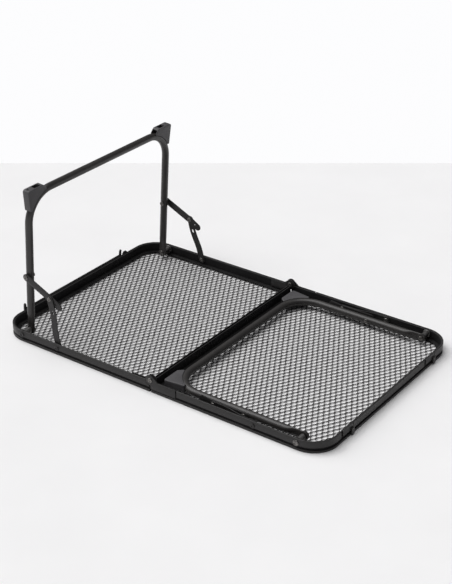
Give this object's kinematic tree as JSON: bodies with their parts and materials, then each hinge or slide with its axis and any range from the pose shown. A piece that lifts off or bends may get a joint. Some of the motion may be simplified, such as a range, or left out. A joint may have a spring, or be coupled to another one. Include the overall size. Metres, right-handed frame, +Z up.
{
  "type": "folding side table",
  "caption": "Small table with a mesh top hinged across the middle so it closes like a case, with a U-shaped tube leg folding into each half on jointed stays.",
  "frame": {"origin": "middle of the table top's outer face, on the floor the top lies on when the table is upside down", "axes": "+X along the top from the raised leg frame (half A) to the folded one (half B), +Z up from the top's outer face towards the feet, +Y across"},
  "size_m": [0.6048, 0.3828, 0.2564],
  "materials": {
    "black_powder_coat": "satin black powder coat with a fine texture",
    "black_mesh": "satin black coat on expanded metal",
    "grey_plastic": "moulded matte",
    "rivet_steel": "satin, slightly dull"
  },
  "bodies": {
    "half_a": {"rim_a": "black_powder_coat", "cross_rail_a": "black_powder_coat", "mesh_panel_a": "black_mesh", "hook_bar": "black_powder_coat", "hinge_plate_a_near": "black_powder_coat", "hinge_pin_near": "rivet_steel", "hinge_plate_a_far": "black_powder_coat", "hinge_pin_far": "rivet_steel", "pivot_spacer_a_near": "rivet_steel", "pivot_pin_a_near": "rivet_steel", "rim_rivet_a_near": "rivet_steel", "pivot_spacer_a_far": "rivet_steel", "pivot_pin_a_far": "rivet_steel", "rim_rivet_a_far": "rivet_steel"},
    "half_b": {"rim_b": "black_powder_coat", "cross_rail_b": "black_powder_coat", "mesh_panel_b": "black_mesh", "hinge_plate_b_near": "black_powder_coat", "hinge_plate_b_far": "black_powder_coat", "pivot_spacer_b_near": "rivet_steel", "pivot_pin_b_near": "rivet_steel", "rim_rivet_b_near": "rivet_steel", "pivot_spacer_b_far": "rivet_steel", "pivot_pin_b_far": "rivet_steel", "rim_rivet_b_far": "rivet_steel"},
    "leg_a": {"leg_frame_a": "black_powder_coat", "foot_cap_a_near": "grey_plastic", "leg_rivet_a_near": "rivet_steel", "foot_cap_a_far": "grey_plastic", "leg_rivet_a_far": "rivet_steel"},
    "stay_upper_a_near": {"upper_arm_a_near": "black_powder_coat", "elbow_rivet_inner_a_near": "rivet_steel"},
    "stay_lower_a_near": {"lower_arm_a_near": "black_powder_coat", "elbow_rivet_outer_a_near": "rivet_steel"},
    "stay_upper_a_far": {"upper_arm_a_far": "black_powder_coat", "elbow_rivet_inner_a_far": "rivet_steel"},
    "stay_lower_a_far": {"lower_arm_a_far": "black_powder_coat", "elbow_rivet_outer_a_far": "rivet_steel"},
    "leg_b": {"leg_frame_b": "black_powder_coat", "foot_cap_b_near": "grey_plastic", "leg_rivet_b_near": "rivet_steel", "foot_cap_b_far": "grey_plastic", "leg_rivet_b_far": "rivet_steel"},
    "stay_upper_b_near": {"upper_arm_b_near": "black_powder_coat", "elbow_rivet_inner_b_near": "rivet_steel"},
    "stay_lower_b_near": {"lower_arm_b_near": "black_powder_coat", "elbow_rivet_outer_b_near": "rivet_steel"},
    "stay_upper_b_far": {"upper_arm_b_far": "black_powder_coat", "elbow_rivet_inner_b_far": "rivet_steel"},
    "stay_lower_b_far": {"lower_arm_b_far": "black_powder_coat", "elbow_rivet_outer_b_far": "rivet_steel"},
    "catch_near": {"catch_near": "black_powder_coat"},
    "catch_far": {"catch_far": "black_powder_coat"}
  },
  "joints": [
    {"name": "seam_fold", "type": "hinge", "parent": "half_a", "child": "half_b", "pos_m": [0, 0, 0.02], "axis": [0, -1, 0], "range_deg": [0, 140]},
    {"name": "leg_a_fold", "type": "hinge", "parent": "half_a", "child": "leg_a", "pos_m": [-0.257, 0, 0.012], "axis": [0, 1, 0], "range_deg": [0, 86.6]},
    {"name": "leg_b_fold", "type": "hinge", "parent": "half_b", "child": "leg_b", "pos_m": [0.257, 0, 0.012], "axis": [0, -1, 0], "range_deg": [-86.6, 0]},
    {"name": "catch_near_slide", "type": "slide", "parent": "half_b", "child": "catch_near", "axis": [0, -1, 0], "range_m": [0, 0.005], "stiffness_N_per_m": 300},
    {"name": "catch_far_slide", "type": "slide", "parent": "half_b", "child": "catch_far", "axis": [0, -1, 0], "range_m": [0, 0.005], "stiffness_N_per_m": 300},
    {"name": "stay_lower_a_near_turn", "type": "hinge", "parent": "half_a", "child": "stay_lower_a_near", "pos_m": [-0.184, -0.185, 0.012], "axis": [0, 1, 0], "range_deg": [0, 104.49]},
    {"name": "stay_upper_a_near_turn", "type": "hinge", "parent": "leg_a", "child": "stay_upper_a_near", "pos_m": [-0.25125, -0.1768, 0.10883], "axis": [0, 1, 0], "range_deg": [-111.52, 0]},
    {"name": "stay_lower_a_far_turn", "type": "hinge", "parent": "half_a", "child": "stay_lower_a_far", "pos_m": [-0.184, 0.185, 0.012], "axis": [0, 1, 0], "range_deg": [0, 104.49]},
    {"name": "stay_upper_a_far_turn", "type": "hinge", "parent": "leg_a", "child": "stay_upper_a_far", "pos_m": [-0.25125, 0.1768, 0.10883], "axis": [0, 1, 0], "range_deg": [-111.52, 0]},
    {"name": "stay_lower_b_near_turn", "type": "hinge", "parent": "half_b", "child": "stay_lower_b_near", "pos_m": [0.184, -0.185, 0.012], "axis": [0, -1, 0], "range_deg": [-104.49, 0]},
    {"name": "stay_upper_b_near_turn", "type": "hinge", "parent": "leg_b", "child": "stay_upper_b_near", "pos_m": [0.16, -0.1768, 0.012], "axis": [0, -1, 0], "range_deg": [0, 111.52]},
    {"name": "stay_lower_b_far_turn", "type": "hinge", "parent": "half_b", "child": "stay_lower_b_far", "pos_m": [0.184, 0.185, 0.012], "axis": [0, -1, 0], "range_deg": [-104.49, 0]},
    {"name": "stay_upper_b_far_turn", "type": "hinge", "parent": "leg_b", "child": "stay_upper_b_far", "pos_m": [0.16, 0.1768, 0.012], "axis": [0, -1, 0], "range_deg": [0, 111.52]}
  ],
  "couplings": [
    {"joint": "stay_lower_a_near_turn", "follows": "leg_a_fold", "ratio": 1.2055},
    {"joint": "stay_upper_a_near_turn", "follows": "leg_a_fold", "ratio": -1.2866},
    {"joint": "stay_lower_a_far_turn", "follows": "leg_a_fold", "ratio": 1.2055},
    {"joint": "stay_upper_a_far_turn", "follows": "leg_a_fold", "ratio": -1.2866},
    {"joint": "stay_lower_b_near_turn", "follows": "leg_b_fold", "ratio": 1.2055},
    {"joint": "stay_upper_b_near_turn", "follows": "leg_b_fold", "ratio": -1.2866},
    {"joint": "stay_lower_b_far_turn", "follows": "leg_b_fold", "ratio": 1.2055},
    {"joint": "stay_upper_b_far_turn", "follows": "leg_b_fold", "ratio": -1.2866}
  ]
}
